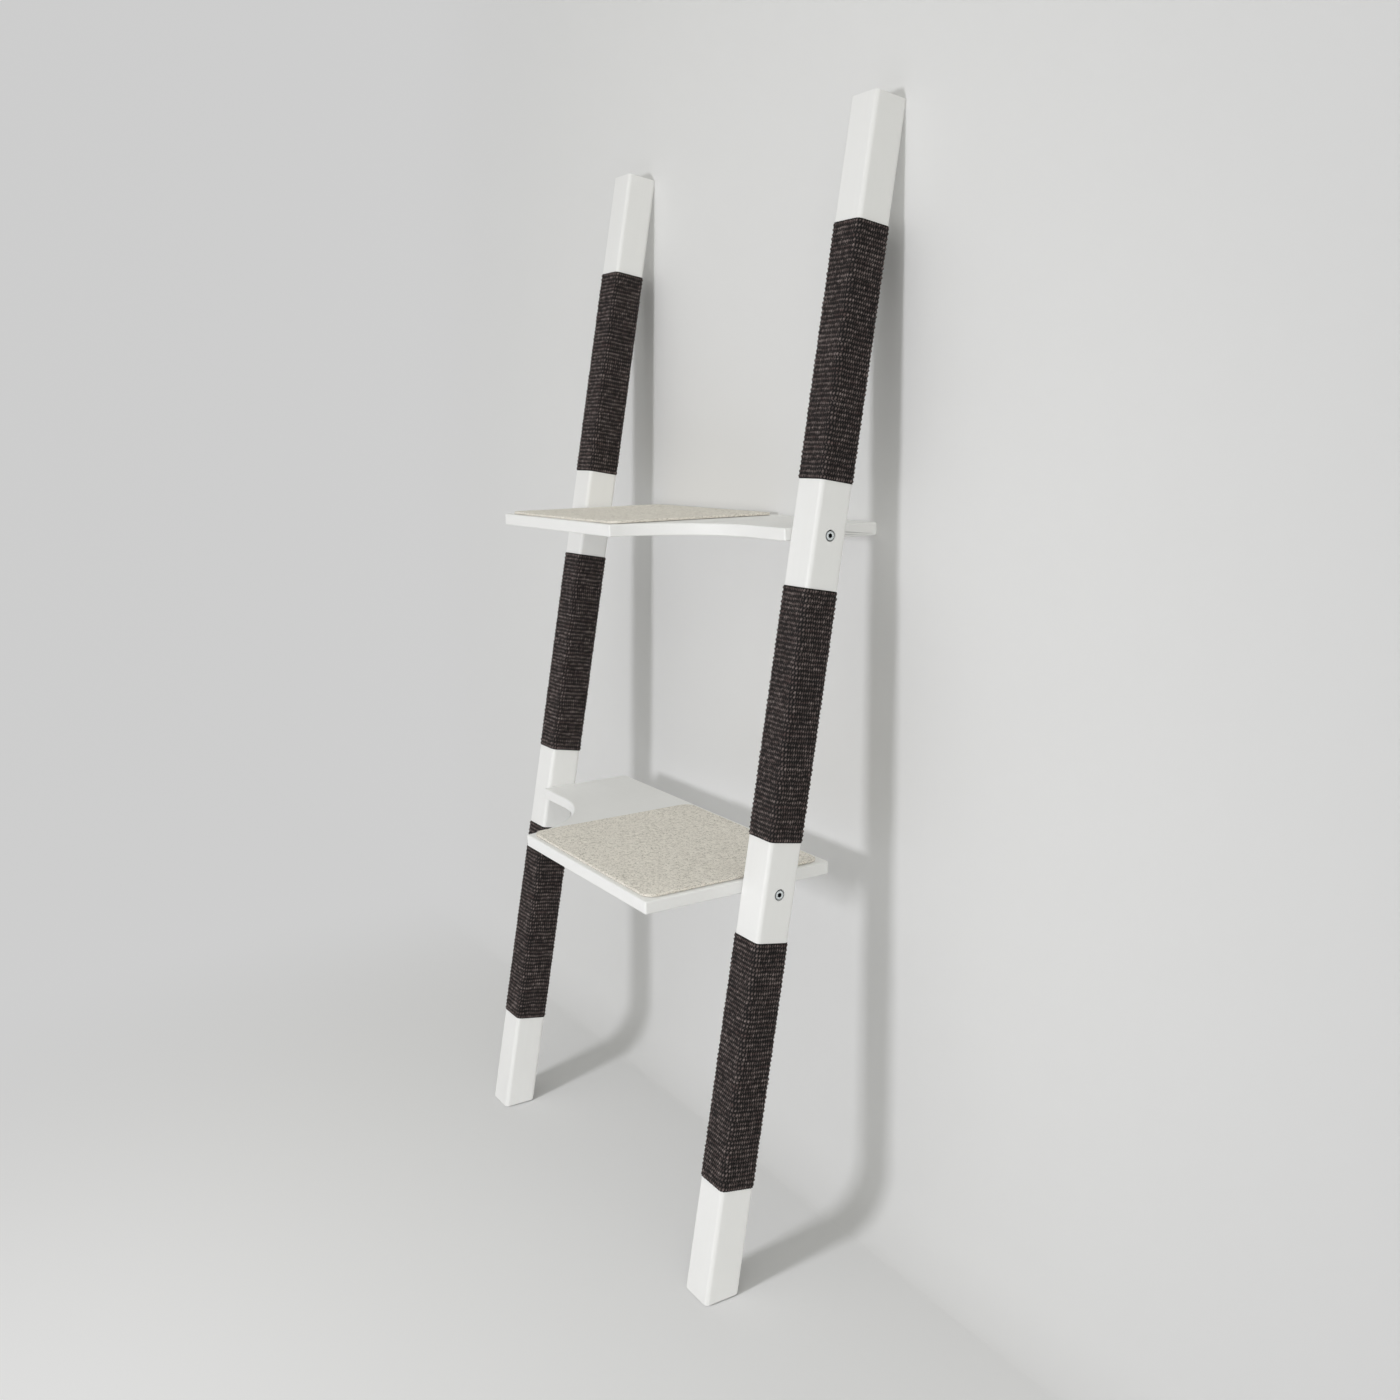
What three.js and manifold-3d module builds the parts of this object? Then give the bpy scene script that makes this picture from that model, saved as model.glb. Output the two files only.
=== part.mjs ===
// Leaning cat scratching tree. Two square posts stand on the floor, lean back against a wall
// and carry two shelves between them. Each post wears three woven sisal mats to scratch on,
// and each shelf has a felt pad that lifts off for cleaning.
//
// Millimetres. X runs along the wall, Y towards the wall and Z up. The origin is on the floor,
// in the middle of the space that the whole object takes up.

import * as THREE from 'three';
import { mergeVertices } from 'three/addons/utils/BufferGeometryUtils.js';
import Module from 'manifold-3d';

const wasm = await Module();
wasm.setup();

// The whole object
const OVERALL_WIDTH = 760;
const OVERALL_DEPTH = 410;
const OVERALL_HEIGHT = 1700;
const WALL_Y = OVERALL_DEPTH / 2;
const FRONT_Y = -OVERALL_DEPTH / 2;

// Room left between pieces that fit together
const GAP = 0.3;

// Posts
const LEAN = THREE.MathUtils.degToRad(10.3);
const POST_WIDTH = 59;
const POST_DEPTH = 56;
const POST_EDGE_RADIUS = 7;
const POST_FOOT_Y = -155;
const POST_CENTRE_X = (OVERALL_WIDTH - POST_WIDTH) / 2;
const POST_LENGTH = OVERALL_HEIGHT / Math.cos(LEAN);

// Sisal mats, counted along a post from its front foot edge
const MAT_LENGTH = 361;
const MAT_STARTS = { lower: 170.5, middle: 677, upper: 1191 };
const MAT_THICKNESS = 4.5;
const MAT_PROUD = 0.3;
const MAT_EDGE_RADIUS = 7.3;
const MAT_SEAM = 1;

// Foot pads
const FOOT_THICKNESS = 1.7;
const FOOT_INSET = 4;
const FOOT_CORNER_RADIUS = 3;
const POST_BASE_Z = FOOT_THICKNESS + GAP;

// Shelves. The tongue is the deep part in front, and lies on the side given here.
const SHELF_THICKNESS = 19;
const SHELF_EDGE_RADIUS = 2.5;
const SHELVES = [
  { name: 'lower', height: 587, tongueSide: 1 },
  { name: 'upper', height: 1092, tongueSide: -1 },
];
const STRIP_REACH = 36;
const COVE_CENTRE = 560;
const COVE_RADIUS = 170;
const FRONT_CORNER_RADIUS = 3;
const BACK_CORNER_RADIUS = 7;

// Felt pads and the hook spots under them
const FELT_THICKNESS = 4;
const FELT_EDGE_RADIUS = 1;
const FELT_CORNER_RADIUS = 20;
const FELT_INSET = { side: 8.5, front: 8 };
const FELT_SIZE = { width: 380, depth: 299 };
const SPOT_RADIUS = 10;
const SPOT_THICKNESS = 0.8;
const SPOT_INSET = 45;
const FELT_LIFT = SPOT_THICKNESS + 0.2;

// Screws with round heads and six-sided sockets
const SCREW = { radius: 4, length: 90, headRadius: 6.5, headHeight: 8, socketWidth: 6, socketDepth: 4 };
const WASHER = { radius: 8, thickness: 1.6 };
const SCREW_HOLE_RADIUS = SCREW.radius + 0.4;
const COUNTERBORE_RADIUS = 8.65;
const COUNTERBORE_DEPTH = SCREW.headHeight + WASHER.thickness + 3 * GAP;

// Barrel nuts and dowels, placed from the shelf's end
const BARREL_NUT = { radius: 6, length: 15, reach: 32, slotWidth: 1.4, slotDepth: 1.6 };
const DOWEL = { radius: 4, length: 40, spacing: 17, chamfer: 1 };

// Press-in hangers in the upright faces that meet the wall
const HANGER = { radius: 8, depth: 6, plate: 1.2, headRadius: 3.9, neckRadius: 2.2, drop: 2.5, rise: 3.5 };
const HANGER_CAVITY = { radius: 4.8, depth: 4.2 };

// Roundness: the number of straight steps in a quarter turn or in a full turn
const POST_CORNER_STEPS = 6;
const SMALL_CORNER_STEPS = 5;
const COVE_STEPS = 18;
const ROUND_STEPS = 24;
const HIDDEN_ROUND_STEPS = 14;

const FINISHES = {
  whitePaint: { color: 0xe9e8e5, roughness: 0.45, metalness: 0 },
  sisal: { color: 0x3c3634, roughness: 0.95, metalness: 0 },
  felt: { color: 0xc1beb2, roughness: 0.95, metalness: 0 },
  zincSteel: { color: 0xb4b6b8, roughness: 0.3, metalness: 1 },
  beech: { color: 0xc9a478, roughness: 0.7, metalness: 0 },
  rubber: { color: 0x3a3a3a, roughness: 0.9, metalness: 0 },
  hookTape: { color: 0x2c2c2c, roughness: 0.9, metalness: 0 },
};

function sideName(side) {
  return side > 0 ? 'right' : 'left';
}

function addPiece(parent, name, geometry, finish) {
  const mesh = new THREE.Mesh(geometry, new THREE.MeshStandardMaterial(FINISHES[finish]));
  mesh.name = name;
  parent.add(mesh);
  return mesh;
}

// Closed solids for cutting and joining

function solidOf(geometry) {
  const bare = geometry.clone();
  bare.deleteAttribute('normal');
  bare.deleteAttribute('uv');
  const merged = mergeVertices(bare);
  return new wasm.Manifold(new wasm.Mesh({
    numProp: 3,
    vertProperties: new Float32Array(merged.attributes.position.array),
    triVerts: new Uint32Array(merged.index.array),
  }));
}

function geometryOf(solid) {
  const { vertProperties, triVerts } = solid.getMesh();
  const geometry = new THREE.BufferGeometry();
  geometry.setAttribute('position', new THREE.BufferAttribute(vertProperties, 3));
  geometry.setIndex(new THREE.BufferAttribute(triVerts, 1));
  geometry.computeVertexNormals();
  return geometry;
}

function cut(geometry, cutters) {
  let solid = solidOf(geometry);
  for (const cutter of cutters) {
    solid = solid.subtract(solidOf(cutter));
  }
  return geometryOf(solid);
}

// Outlines are lists of points that run counter-clockwise

function arc(x, y, radius, fromDegrees, toDegrees, steps) {
  const points = [];
  for (let i = 0; i <= steps; i += 1) {
    const angle = THREE.MathUtils.degToRad(fromDegrees + ((toDegrees - fromDegrees) * i) / steps);
    points.push(new THREE.Vector2(x + radius * Math.cos(angle), y + radius * Math.sin(angle)));
  }
  return points;
}

function roundedRectangle(width, depth, radius, steps) {
  const x = width / 2 - radius;
  const y = depth / 2 - radius;
  return [
    ...arc(x, -y, radius, -90, 0, steps),
    ...arc(x, y, radius, 0, 90, steps),
    ...arc(-x, y, radius, 90, 180, steps),
    ...arc(-x, -y, radius, 180, 270, steps),
  ];
}

// A prism from z = 0 up, with its top and bottom edges rounded where a radius is given
function prism(outline, height, edgeRadius = 0, edgeSteps = 4) {
  const geometry = new THREE.ExtrudeGeometry(new THREE.Shape(outline), {
    depth: height - 2 * edgeRadius,
    bevelEnabled: edgeRadius > 0,
    bevelThickness: edgeRadius,
    bevelSize: edgeRadius,
    bevelOffset: -edgeRadius,
    bevelSegments: edgeSteps,
  });
  return geometry.translate(0, 0, edgeRadius);
}

function box(x0, x1, y0, y1, z0, z1) {
  const geometry = new THREE.BoxGeometry(x1 - x0, y1 - y0, z1 - z0);
  return geometry.translate((x0 + x1) / 2, (y0 + y1) / 2, (z0 + z1) / 2);
}

// A solid turned about the Y axis from [radius, along] pairs that start and end on the axis
function turned(profile, steps = ROUND_STEPS) {
  return new THREE.LatheGeometry(profile.map(([radius, along]) => new THREE.Vector2(radius, along)), steps);
}

// A plain rod along the Y axis between two places on it
function rod(radius, from, to, steps = ROUND_STEPS) {
  const geometry = new THREE.CylinderGeometry(radius, radius, to - from, steps);
  return geometry.translate(0, (from + to) / 2, 0);
}

// The posts and their mats are built upright in this group, which leans them back.
// In it Z runs along a post, and Y is the depth from the post's front face.
const leaningFrame = new THREE.Group();
leaningFrame.position.y = POST_FOOT_Y;
leaningFrame.rotation.x = -LEAN;
leaningFrame.updateMatrix();
const intoLeaningFrame = leaningFrame.matrix.clone().invert();

// The Y of a post's centre line at a height above the floor
function postCentreY(height) {
  return POST_FOOT_Y + height * Math.tan(LEAN) + POST_DEPTH / 2 / Math.cos(LEAN);
}

// The hangers sit in the middle of the upright faces, where the posts' tops lie on the wall
const topToWall = WALL_Y - POST_FOOT_Y - OVERALL_HEIGHT * Math.tan(LEAN);
const uprightTop = OVERALL_HEIGHT - topToWall * Math.tan(LEAN);
const uprightBottom = (WALL_Y - POST_FOOT_Y - POST_DEPTH / Math.cos(LEAN)) / Math.tan(LEAN);
const HANGER_HEIGHT = (uprightTop + uprightBottom) / 2;

// Each end of each shelf is bolted to a post. A joint's group has its origin on the post's
// outer face, at the middle of the shelf's thickness, and its Y axis runs inwards.
function makeJoint(shelf, side) {
  const group = new THREE.Group();
  group.position.set(side * OVERALL_WIDTH / 2, postCentreY(shelf.height), shelf.height);
  group.rotation.z = side * Math.PI / 2;
  group.updateMatrix();
  return { shelf, side, group, name: `${shelf.name}_${sideName(side)}` };
}

const joints = SHELVES.flatMap((shelf) => [makeJoint(shelf, -1), makeJoint(shelf, 1)]);

const NUT_ALONG = POST_WIDTH + BARREL_NUT.reach;
const SCREW_START = GAP;

function dowelCutters() {
  const from = POST_WIDTH - DOWEL.length / 2 - GAP;
  const to = POST_WIDTH + DOWEL.length / 2 + GAP;
  return [-1, 1].map((way) => (
    rod(DOWEL.radius + GAP, from, to, HIDDEN_ROUND_STEPS).translate(way * DOWEL.spacing, 0, 0)
  ));
}

// What a joint takes out of the post and the shelf
function jointCutters(joint) {
  const screwEnd = SCREW_START + SCREW.headHeight + SCREW.length;
  const nutHoleTop = BARREL_NUT.length / 2 + GAP;
  const nutHole = rod(BARREL_NUT.radius + GAP, -SHELF_THICKNESS, nutHoleTop).rotateX(Math.PI / 2);
  const cutters = [
    rod(COUNTERBORE_RADIUS, -10, COUNTERBORE_DEPTH),
    rod(SCREW_HOLE_RADIUS, 0, screwEnd + 3, HIDDEN_ROUND_STEPS),
    ...dowelCutters(),
    nutHole.translate(0, NUT_ALONG, 0),
  ];
  return cutters.map((cutter) => cutter.applyMatrix4(joint.group.matrix));
}

function makePost(side) {
  const name = sideName(side);
  const centreX = side * POST_CENTRE_X;
  const section = roundedRectangle(POST_WIDTH, POST_DEPTH, POST_EDGE_RADIUS, POST_CORNER_STEPS);
  const blank = prism(section, POST_LENGTH).translate(centreX, POST_DEPTH / 2, 0);

  // The foot is cut level and the top of the back is cut upright, in the room's own directions
  const reach = 2 * POST_WIDTH;
  const levelCut = box(centreX - reach, centreX + reach, -400, 200, -200, POST_BASE_Z);
  const uprightCut = box(centreX - reach, centreX + reach, WALL_Y, WALL_Y + 300, 1500, 1900);
  const hangerPocket = rod(HANGER.radius + GAP, WALL_Y - HANGER.depth - 2 * GAP, WALL_Y + 10)
    .translate(centreX, 0, HANGER_HEIGHT);
  const roomCutters = [levelCut, uprightCut, hangerPocket];
  for (const joint of joints) {
    if (joint.side === side) {
      roomCutters.push(...jointCutters(joint));
    }
  }
  const leaningCutters = roomCutters.map((cutter) => cutter.applyMatrix4(intoLeaningFrame));
  for (const start of Object.values(MAT_STARTS)) {
    leaningCutters.push(matRecess(start).translate(centreX, POST_DEPTH / 2, 0));
  }
  addPiece(leaningFrame, `${name}_post`, cut(blank, leaningCutters), 'whitePaint');

  for (const [place, start] of Object.entries(MAT_STARTS)) {
    const mat = addPiece(leaningFrame, `${name}_${place}_sisal_mat`, matSleeve(), 'sisal');
    mat.position.set(centreX, POST_DEPTH / 2, start);
  }
}

// The ring that is cut from a post so that a mat lies flush in it
function matRecess(start) {
  const deep = MAT_THICKNESS + GAP - MAT_PROUD;
  const height = MAT_LENGTH + 2 * GAP;
  const around = box(-POST_WIDTH, POST_WIDTH, -POST_DEPTH, POST_DEPTH, 0, height);
  const core = roundedRectangle(POST_WIDTH - 2 * deep, POST_DEPTH - 2 * deep, POST_EDGE_RADIUS - deep,
    SMALL_CORNER_STEPS);
  return cut(around, [prism(core, height + 2).translate(0, 0, -1)]).translate(0, 0, start - GAP);
}

// A mat is wrapped round the post, and its two ends meet at a narrow seam behind
function matSleeve() {
  const width = POST_WIDTH + 2 * MAT_PROUD;
  const depth = POST_DEPTH + 2 * MAT_PROUD;
  const outside = roundedRectangle(width, depth, MAT_EDGE_RADIUS, POST_CORNER_STEPS);
  const inside = roundedRectangle(width - 2 * MAT_THICKNESS, depth - 2 * MAT_THICKNESS,
    MAT_EDGE_RADIUS - MAT_THICKNESS, SMALL_CORNER_STEPS);
  const bore = prism(inside, MAT_LENGTH + 2).translate(0, 0, -1);
  const seam = box(-MAT_SEAM / 2, MAT_SEAM / 2, 0, depth, -1, MAT_LENGTH + 1);
  return cut(prism(outside, MAT_LENGTH), [bore, seam]);
}

// A cup with a keyhole in its plate, open to the wall. Its Y axis points into the post.
function hangerCup() {
  const { radius, depth, plate, headRadius, neckRadius, drop, rise } = HANGER;
  const cavityBack = plate + HANGER_CAVITY.depth;
  const across = HANGER_CAVITY.radius;
  return cut(rod(radius, 0, depth), [
    rod(across, plate, cavityBack).translate(0, 0, -drop),
    rod(across, plate, cavityBack).translate(0, 0, rise - 1),
    box(-across, across, plate, cavityBack, -drop, rise - 1),
    rod(headRadius, -1, plate + 1).translate(0, 0, -drop),
    rod(neckRadius, -1, plate + 1).translate(0, 0, rise),
    box(-neckRadius, neckRadius, -1, plate + 1, -drop, rise),
  ]);
}

function makeHanger(side) {
  const hanger = addPiece(root, `${sideName(side)}_wall_hanger`, hangerCup(), 'zincSteel');
  hanger.position.set(side * POST_CENTRE_X, WALL_Y - GAP, HANGER_HEIGHT);
  hanger.rotation.z = Math.PI;
}

// A pad that covers the foot of a post, a little inside its edges
function makeFootPad(side) {
  const footDepth = POST_DEPTH / Math.cos(LEAN);
  const outline = roundedRectangle(POST_WIDTH - 2 * FOOT_INSET, footDepth - 2 * FOOT_INSET,
    FOOT_CORNER_RADIUS, SMALL_CORNER_STEPS);
  const pad = addPiece(root, `${sideName(side)}_foot_pad`, prism(outline, FOOT_THICKNESS), 'rubber');
  pad.position.set(side * POST_CENTRE_X, postCentreY(0), 0);
}

// A shelf seen from above, with X across from the post beside the tongue, Y towards the wall,
// and Y = 0 on the posts' centre line. A cove sweeps from the narrow strip to the tongue's
// front, where it meets the corner's own small arc.
function shelfOutline(frontReach, backReach) {
  const left = GAP;
  const right = OVERALL_WIDTH - 2 * POST_WIDTH - GAP;
  const small = FRONT_CORNER_RADIUS;
  const back = BACK_CORNER_RADIUS;
  const coveY = -STRIP_REACH - COVE_RADIUS;
  const cornerY = small - frontReach;
  const turn = Math.asin((cornerY - coveY) / (COVE_RADIUS + small));
  const cornerX = COVE_CENTRE - (COVE_RADIUS + small) * Math.cos(turn);
  const turnDegrees = THREE.MathUtils.radToDeg(turn);
  return [
    ...arc(left + small, cornerY, small, 180, 270, SMALL_CORNER_STEPS),
    ...arc(cornerX, cornerY, small, -90, -turnDegrees, SMALL_CORNER_STEPS),
    ...arc(COVE_CENTRE, coveY, COVE_RADIUS, 180 - turnDegrees, 90, COVE_STEPS).slice(1),
    ...arc(right - small, small - STRIP_REACH, small, -90, 0, SMALL_CORNER_STEPS),
    ...arc(right - back, backReach - back, back, 0, 90, SMALL_CORNER_STEPS),
    ...arc(left + back, backReach - back, back, 90, 180, SMALL_CORNER_STEPS),
  ];
}

// Turns a shape drawn with the tongue on the left into one with the tongue on a given side,
// in its place in the room
function placeOnShelf(geometry, shelf, z) {
  if (shelf.tongueSide > 0) {
    geometry.scale(-1, 1, 1);
    const index = geometry.index;
    for (let i = 0; index && i < index.count; i += 3) {
      const first = index.getX(i);
      index.setX(i, index.getX(i + 1));
      index.setX(i + 1, first);
    }
  }
  const innerFace = shelf.tongueSide * (OVERALL_WIDTH / 2 - POST_WIDTH);
  return geometry.translate(innerFace, postCentreY(shelf.height), z);
}

const lowerFrontReach = postCentreY(SHELVES[0].height) - FRONT_Y;
const upperBackReach = WALL_Y - postCentreY(SHELVES[1].height);

function makeShelf(shelf) {
  const outline = shelfOutline(lowerFrontReach, upperBackReach);
  const board = prism(outline, SHELF_THICKNESS, SHELF_EDGE_RADIUS);
  const placed = placeOnShelf(geometryOf(solidOf(board)), shelf, shelf.height - SHELF_THICKNESS / 2);
  const cutters = joints.filter((joint) => joint.shelf === shelf).flatMap(jointCutters);
  addPiece(root, `${shelf.name}_shelf`, cut(placed, cutters), 'whitePaint');
}

function makeFeltPad(shelf) {
  const { width, depth } = FELT_SIZE;
  const middleX = FELT_INSET.side + width / 2;
  const middleY = FELT_INSET.front + depth / 2 - lowerFrontReach;
  const top = shelf.height + SHELF_THICKNESS / 2;
  const outline = roundedRectangle(width, depth, FELT_CORNER_RADIUS, POST_CORNER_STEPS);
  const pad = prism(outline, FELT_THICKNESS, FELT_EDGE_RADIUS, 2).translate(middleX, middleY, 0);
  const placed = placeOnShelf(geometryOf(solidOf(pad)), shelf, top + FELT_LIFT);
  addPiece(root, `${shelf.name}_felt_pad`, placed, 'felt');

  const spots = [['front', 'outer'], ['front', 'inner'], ['back', 'outer'], ['back', 'inner']];
  for (const [row, column] of spots) {
    const alongX = (width / 2 - SPOT_INSET) * (column === 'outer' ? -1 : 1);
    const alongY = (depth / 2 - SPOT_INSET) * (row === 'front' ? -1 : 1);
    const x = shelf.tongueSide * (OVERALL_WIDTH / 2 - POST_WIDTH - middleX - alongX);
    const y = postCentreY(shelf.height) + middleY + alongY;
    const disc = rod(SPOT_RADIUS, 0, SPOT_THICKNESS, HIDDEN_ROUND_STEPS).rotateX(Math.PI / 2);
    const spot = disc.translate(x, y, top);
    addPiece(root, `${shelf.name}_${row}_${column}_hook_spot`, spot, 'hookTape');
  }
}

function screwGeometry() {
  const { radius, length, headRadius, headHeight, socketWidth, socketDepth } = SCREW;
  const tip = headHeight + length;
  const body = turned([
    [0, 0], [headRadius - 0.6, 0], [headRadius, 0.6], [headRadius, headHeight],
    [radius, headHeight], [radius, tip - 1], [radius - 1, tip], [0, tip],
  ]);
  const cornerRadius = socketWidth / Math.sqrt(3);
  const socket = new THREE.CylinderGeometry(cornerRadius, cornerRadius, socketDepth + 1, 6);
  return cut(body, [socket.translate(0, (socketDepth - 1) / 2, 0)]);
}

function dowelGeometry() {
  const { radius, length, chamfer } = DOWEL;
  return geometryOf(solidOf(turned([
    [0, 0], [radius - chamfer, 0], [radius, chamfer],
    [radius, length - chamfer], [radius - chamfer, length], [0, length],
  ], HIDDEN_ROUND_STEPS)));
}

// A steel barrel that stands upright in the shelf, crossed by the screw, slotted below
function barrelNutGeometry() {
  const { radius, length, slotWidth, slotDepth } = BARREL_NUT;
  const barrel = rod(radius, -length / 2, length / 2).rotateX(Math.PI / 2);
  return cut(barrel, [
    rod(SCREW.radius + GAP, -2 * radius, 2 * radius, HIDDEN_ROUND_STEPS),
    box(-2 * radius, 2 * radius, -slotWidth / 2, slotWidth / 2, -length, slotDepth - length / 2),
  ]);
}

function makeJointHardware(joint) {
  root.add(joint.group);
  const screw = addPiece(joint.group, `${joint.name}_screw`, screwGeometry(), 'zincSteel');
  screw.position.y = SCREW_START;

  const washerStart = SCREW_START + SCREW.headHeight + GAP;
  const hole = rod(SCREW.radius + GAP, -1, WASHER.thickness + 1);
  const ring = cut(rod(WASHER.radius, 0, WASHER.thickness), [hole]);
  addPiece(joint.group, `${joint.name}_washer`, ring, 'zincSteel').position.y = washerStart;

  const nut = addPiece(joint.group, `${joint.name}_barrel_nut`, barrelNutGeometry(), 'zincSteel');
  nut.position.y = NUT_ALONG;

  for (const way of [-1, 1]) {
    const place = way * joint.side > 0 ? 'back' : 'front';
    const dowel = addPiece(joint.group, `${joint.name}_${place}_dowel`, dowelGeometry(), 'beech');
    dowel.position.set(way * DOWEL.spacing, POST_WIDTH - DOWEL.length / 2, 0);
  }
}

const root = new THREE.Group();
root.add(leaningFrame);
for (const side of [-1, 1]) {
  makePost(side);
  makeFootPad(side);
  makeHanger(side);
}
for (const shelf of SHELVES) {
  makeShelf(shelf);
  makeFeltPad(shelf);
}
for (const joint of joints) {
  makeJointHardware(joint);
}

export default root;
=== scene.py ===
"""Looks of a leaning cat scratching tree: sprayed wood, woven sisal, felt and plated steel.

Run as a script, it dresses the packed model piece by piece and puts a plain studio round it.
All lengths are in metres, in the model's own frame: X along the wall, Y towards it, Z up.
"""

import math

import bpy
import numpy as np
from bpy.props import FloatProperty, FloatVectorProperty, IntProperty, PointerProperty
from mathutils import Matrix, Vector


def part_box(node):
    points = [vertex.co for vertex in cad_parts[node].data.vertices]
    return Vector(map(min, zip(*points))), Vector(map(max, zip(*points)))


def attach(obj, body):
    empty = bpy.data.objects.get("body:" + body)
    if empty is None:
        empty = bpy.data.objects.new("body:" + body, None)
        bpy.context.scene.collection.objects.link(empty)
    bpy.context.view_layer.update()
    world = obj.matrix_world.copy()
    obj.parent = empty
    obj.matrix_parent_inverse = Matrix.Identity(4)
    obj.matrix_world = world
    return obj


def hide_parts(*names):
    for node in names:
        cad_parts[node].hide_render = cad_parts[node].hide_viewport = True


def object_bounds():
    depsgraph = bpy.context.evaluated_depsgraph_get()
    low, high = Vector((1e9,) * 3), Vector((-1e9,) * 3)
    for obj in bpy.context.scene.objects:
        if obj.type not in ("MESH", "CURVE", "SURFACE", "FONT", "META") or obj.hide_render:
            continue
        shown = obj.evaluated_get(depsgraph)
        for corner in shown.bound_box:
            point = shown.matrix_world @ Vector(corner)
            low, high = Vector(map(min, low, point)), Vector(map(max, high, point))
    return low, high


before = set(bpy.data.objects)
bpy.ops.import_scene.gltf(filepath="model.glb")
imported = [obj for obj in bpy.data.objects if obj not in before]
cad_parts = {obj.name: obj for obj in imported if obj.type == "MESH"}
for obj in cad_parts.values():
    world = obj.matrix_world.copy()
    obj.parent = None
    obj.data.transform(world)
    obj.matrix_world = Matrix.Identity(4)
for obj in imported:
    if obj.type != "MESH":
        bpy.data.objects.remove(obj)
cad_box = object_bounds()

bl_info = {
    "name": "Cat Scratching Tree",
    "version": (1, 0, 0),
    "blender": (4, 5, 0),
    "location": "View3D > Sidebar > Cat Tree",
    "description": "Dresses a leaning cat scratching tree in paint, sisal, felt and steel",
    "category": "Add Mesh",
}


def linear(code):
    """The linear colour of an sRGB hex value such as #EDEDEA."""
    channels = [int(code[i : i + 2], 16) / 255 for i in (1, 3, 5)]
    return tuple(c / 12.92 if c <= 0.04045 else ((c + 0.055) / 1.055) ** 2.4 for c in channels)


def colour(name, code, description):
    """A colour property whose default is an sRGB hex value."""
    return FloatVectorProperty(
        name=name,
        description=description,
        subtype="COLOR",
        size=3,
        min=0,
        max=1,
        default=linear(code),
    )


def length(name, metres, description):
    """A length property with its default in metres."""
    return FloatProperty(
        name=name, description=description, unit="LENGTH", precision=4, default=metres
    )


class CatTreePosts(bpy.types.PropertyGroup):
    """Where the posts stand, which the mats follow"""

    lean: FloatProperty(
        name="Lean",
        description="How far the posts lean back from upright",
        subtype="ANGLE",
        default=math.radians(10.3),
    )
    width: length("Width", 0.059, "Width of a post along the wall")
    depth: length("Depth", 0.056, "Depth of a post, square to its length")
    foot_y: length("Foot", -0.155, "Y of the posts' front faces at the floor")
    centre_x: length("Centre", 0.3505, "X of the right post's centre line")


class CatTreeMats(bpy.types.PropertyGroup):
    """Sizes of the sisal mats and of their weave"""

    length: length("Length", 0.361, "Length of a mat along its post")
    lower_start: length("Lower Start", 0.1705, "Start of the lower mat along the post")
    middle_start: length("Middle Start", 0.677, "Start of the middle mat along the post")
    upper_start: length("Upper Start", 1.191, "Start of the upper mat along the post")
    thickness: length("Thickness", 0.0045, "Thickness of a mat")
    edge_radius: length("Edge Radius", 0.0073, "Radius of a mat round the edges of its post")
    seam: length("Seam", 0.001, "Gap between a mat's two ends, behind the post")
    proud: length("Proud", 0.0022, "How far the ribs' tops stand out of the paint")
    relief: length("Relief", 0.0027, "Depth of the grooves between the ribs")
    rib_count: IntProperty(name="Ribs", description="Ribs on one mat", default=53)
    loop_count: IntProperty(name="Loops", description="Loops of one rib round the post", default=52)


class CatTreePads(bpy.types.PropertyGroup):
    """Shape of the felt pads"""

    corner_radius: length("Corner Radius", 0.02, "Radius of a pad's corners, seen from above")
    edge_radius: length("Edge Radius", 0.0013, "Rounding of the cut edge")
    cell: length("Cell", 0.0032, "Spacing of the pad's mesh")
    swell: length("Swell", 0.00035, "How uneven the felt's thickness is")
    spot_radius: length("Spot Radius", 0.01, "Radius of the hook spots under a pad")
    sag: length("Sag", 0.00085, "How far a pad sags towards the shelf away from its hook spots")
    curl: FloatProperty(
        name="Curl", description="How much less a pad sags along its right edge", default=0.7
    )
    sag_reach: length("Sag Reach", 0.05, "Distance from a hook spot over which a pad sags")


class CatTreeFinishes(bpy.types.PropertyGroup):
    """Colours of the materials"""

    lacquer: colour("Lacquer", "#F0F0EF", "White lacquer of the posts and shelves")
    sisal: colour("Sisal", "#5B4E4C", "Dyed sisal, on top of the loops")
    # Painted highlight: the paler colour that loop tops take where their fibres catch the light,
    # varied loop by loop.
    sisal_highlight: colour("Sisal Pale", "#9A8C89", "Dyed sisal where its fibres catch the light")
    # Painted shade: the near-black colour for the grooves between the ribs and the gaps between
    # fibres.
    sisal_groove_shade: colour("Sisal Groove", "#0B0807", "Dyed sisal, down between the ribs")
    sisal_red: colour("Sisal Red", "#65514F", "Yarn that took the dye redder")
    felt: colour("Felt", "#EFE9DF", "Main colour of the felt")
    felt_dark: colour("Felt Dark", "#979184", "Dark fibres in the felt")
    felt_light: colour("Felt Light", "#F6F3E8", "Light fibres in the felt")
    zinc: colour("Zinc", "#E4EAEB", "Bright zinc plating")
    # Painted shade: a dark zinc colour for the recess of the screws' sockets.
    zinc_socket_shade: colour("Zinc Socket", "#34383A", "Zinc down in the sockets of the screws")
    beech: colour("Beech", "#C8A276", "Bare beech")
    rubber: colour("Rubber", "#3A3A3A", "Foot pads")
    hook_tape: colour("Hook Tape", "#2B2B2B", "Hook spots")
    floor: colour("Floor", "#E5E5E5", "Floor and backdrop")
    distance: colour("Distance", "#CFCFCF", "Tone of the floor and backdrop far from the object")


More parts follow.
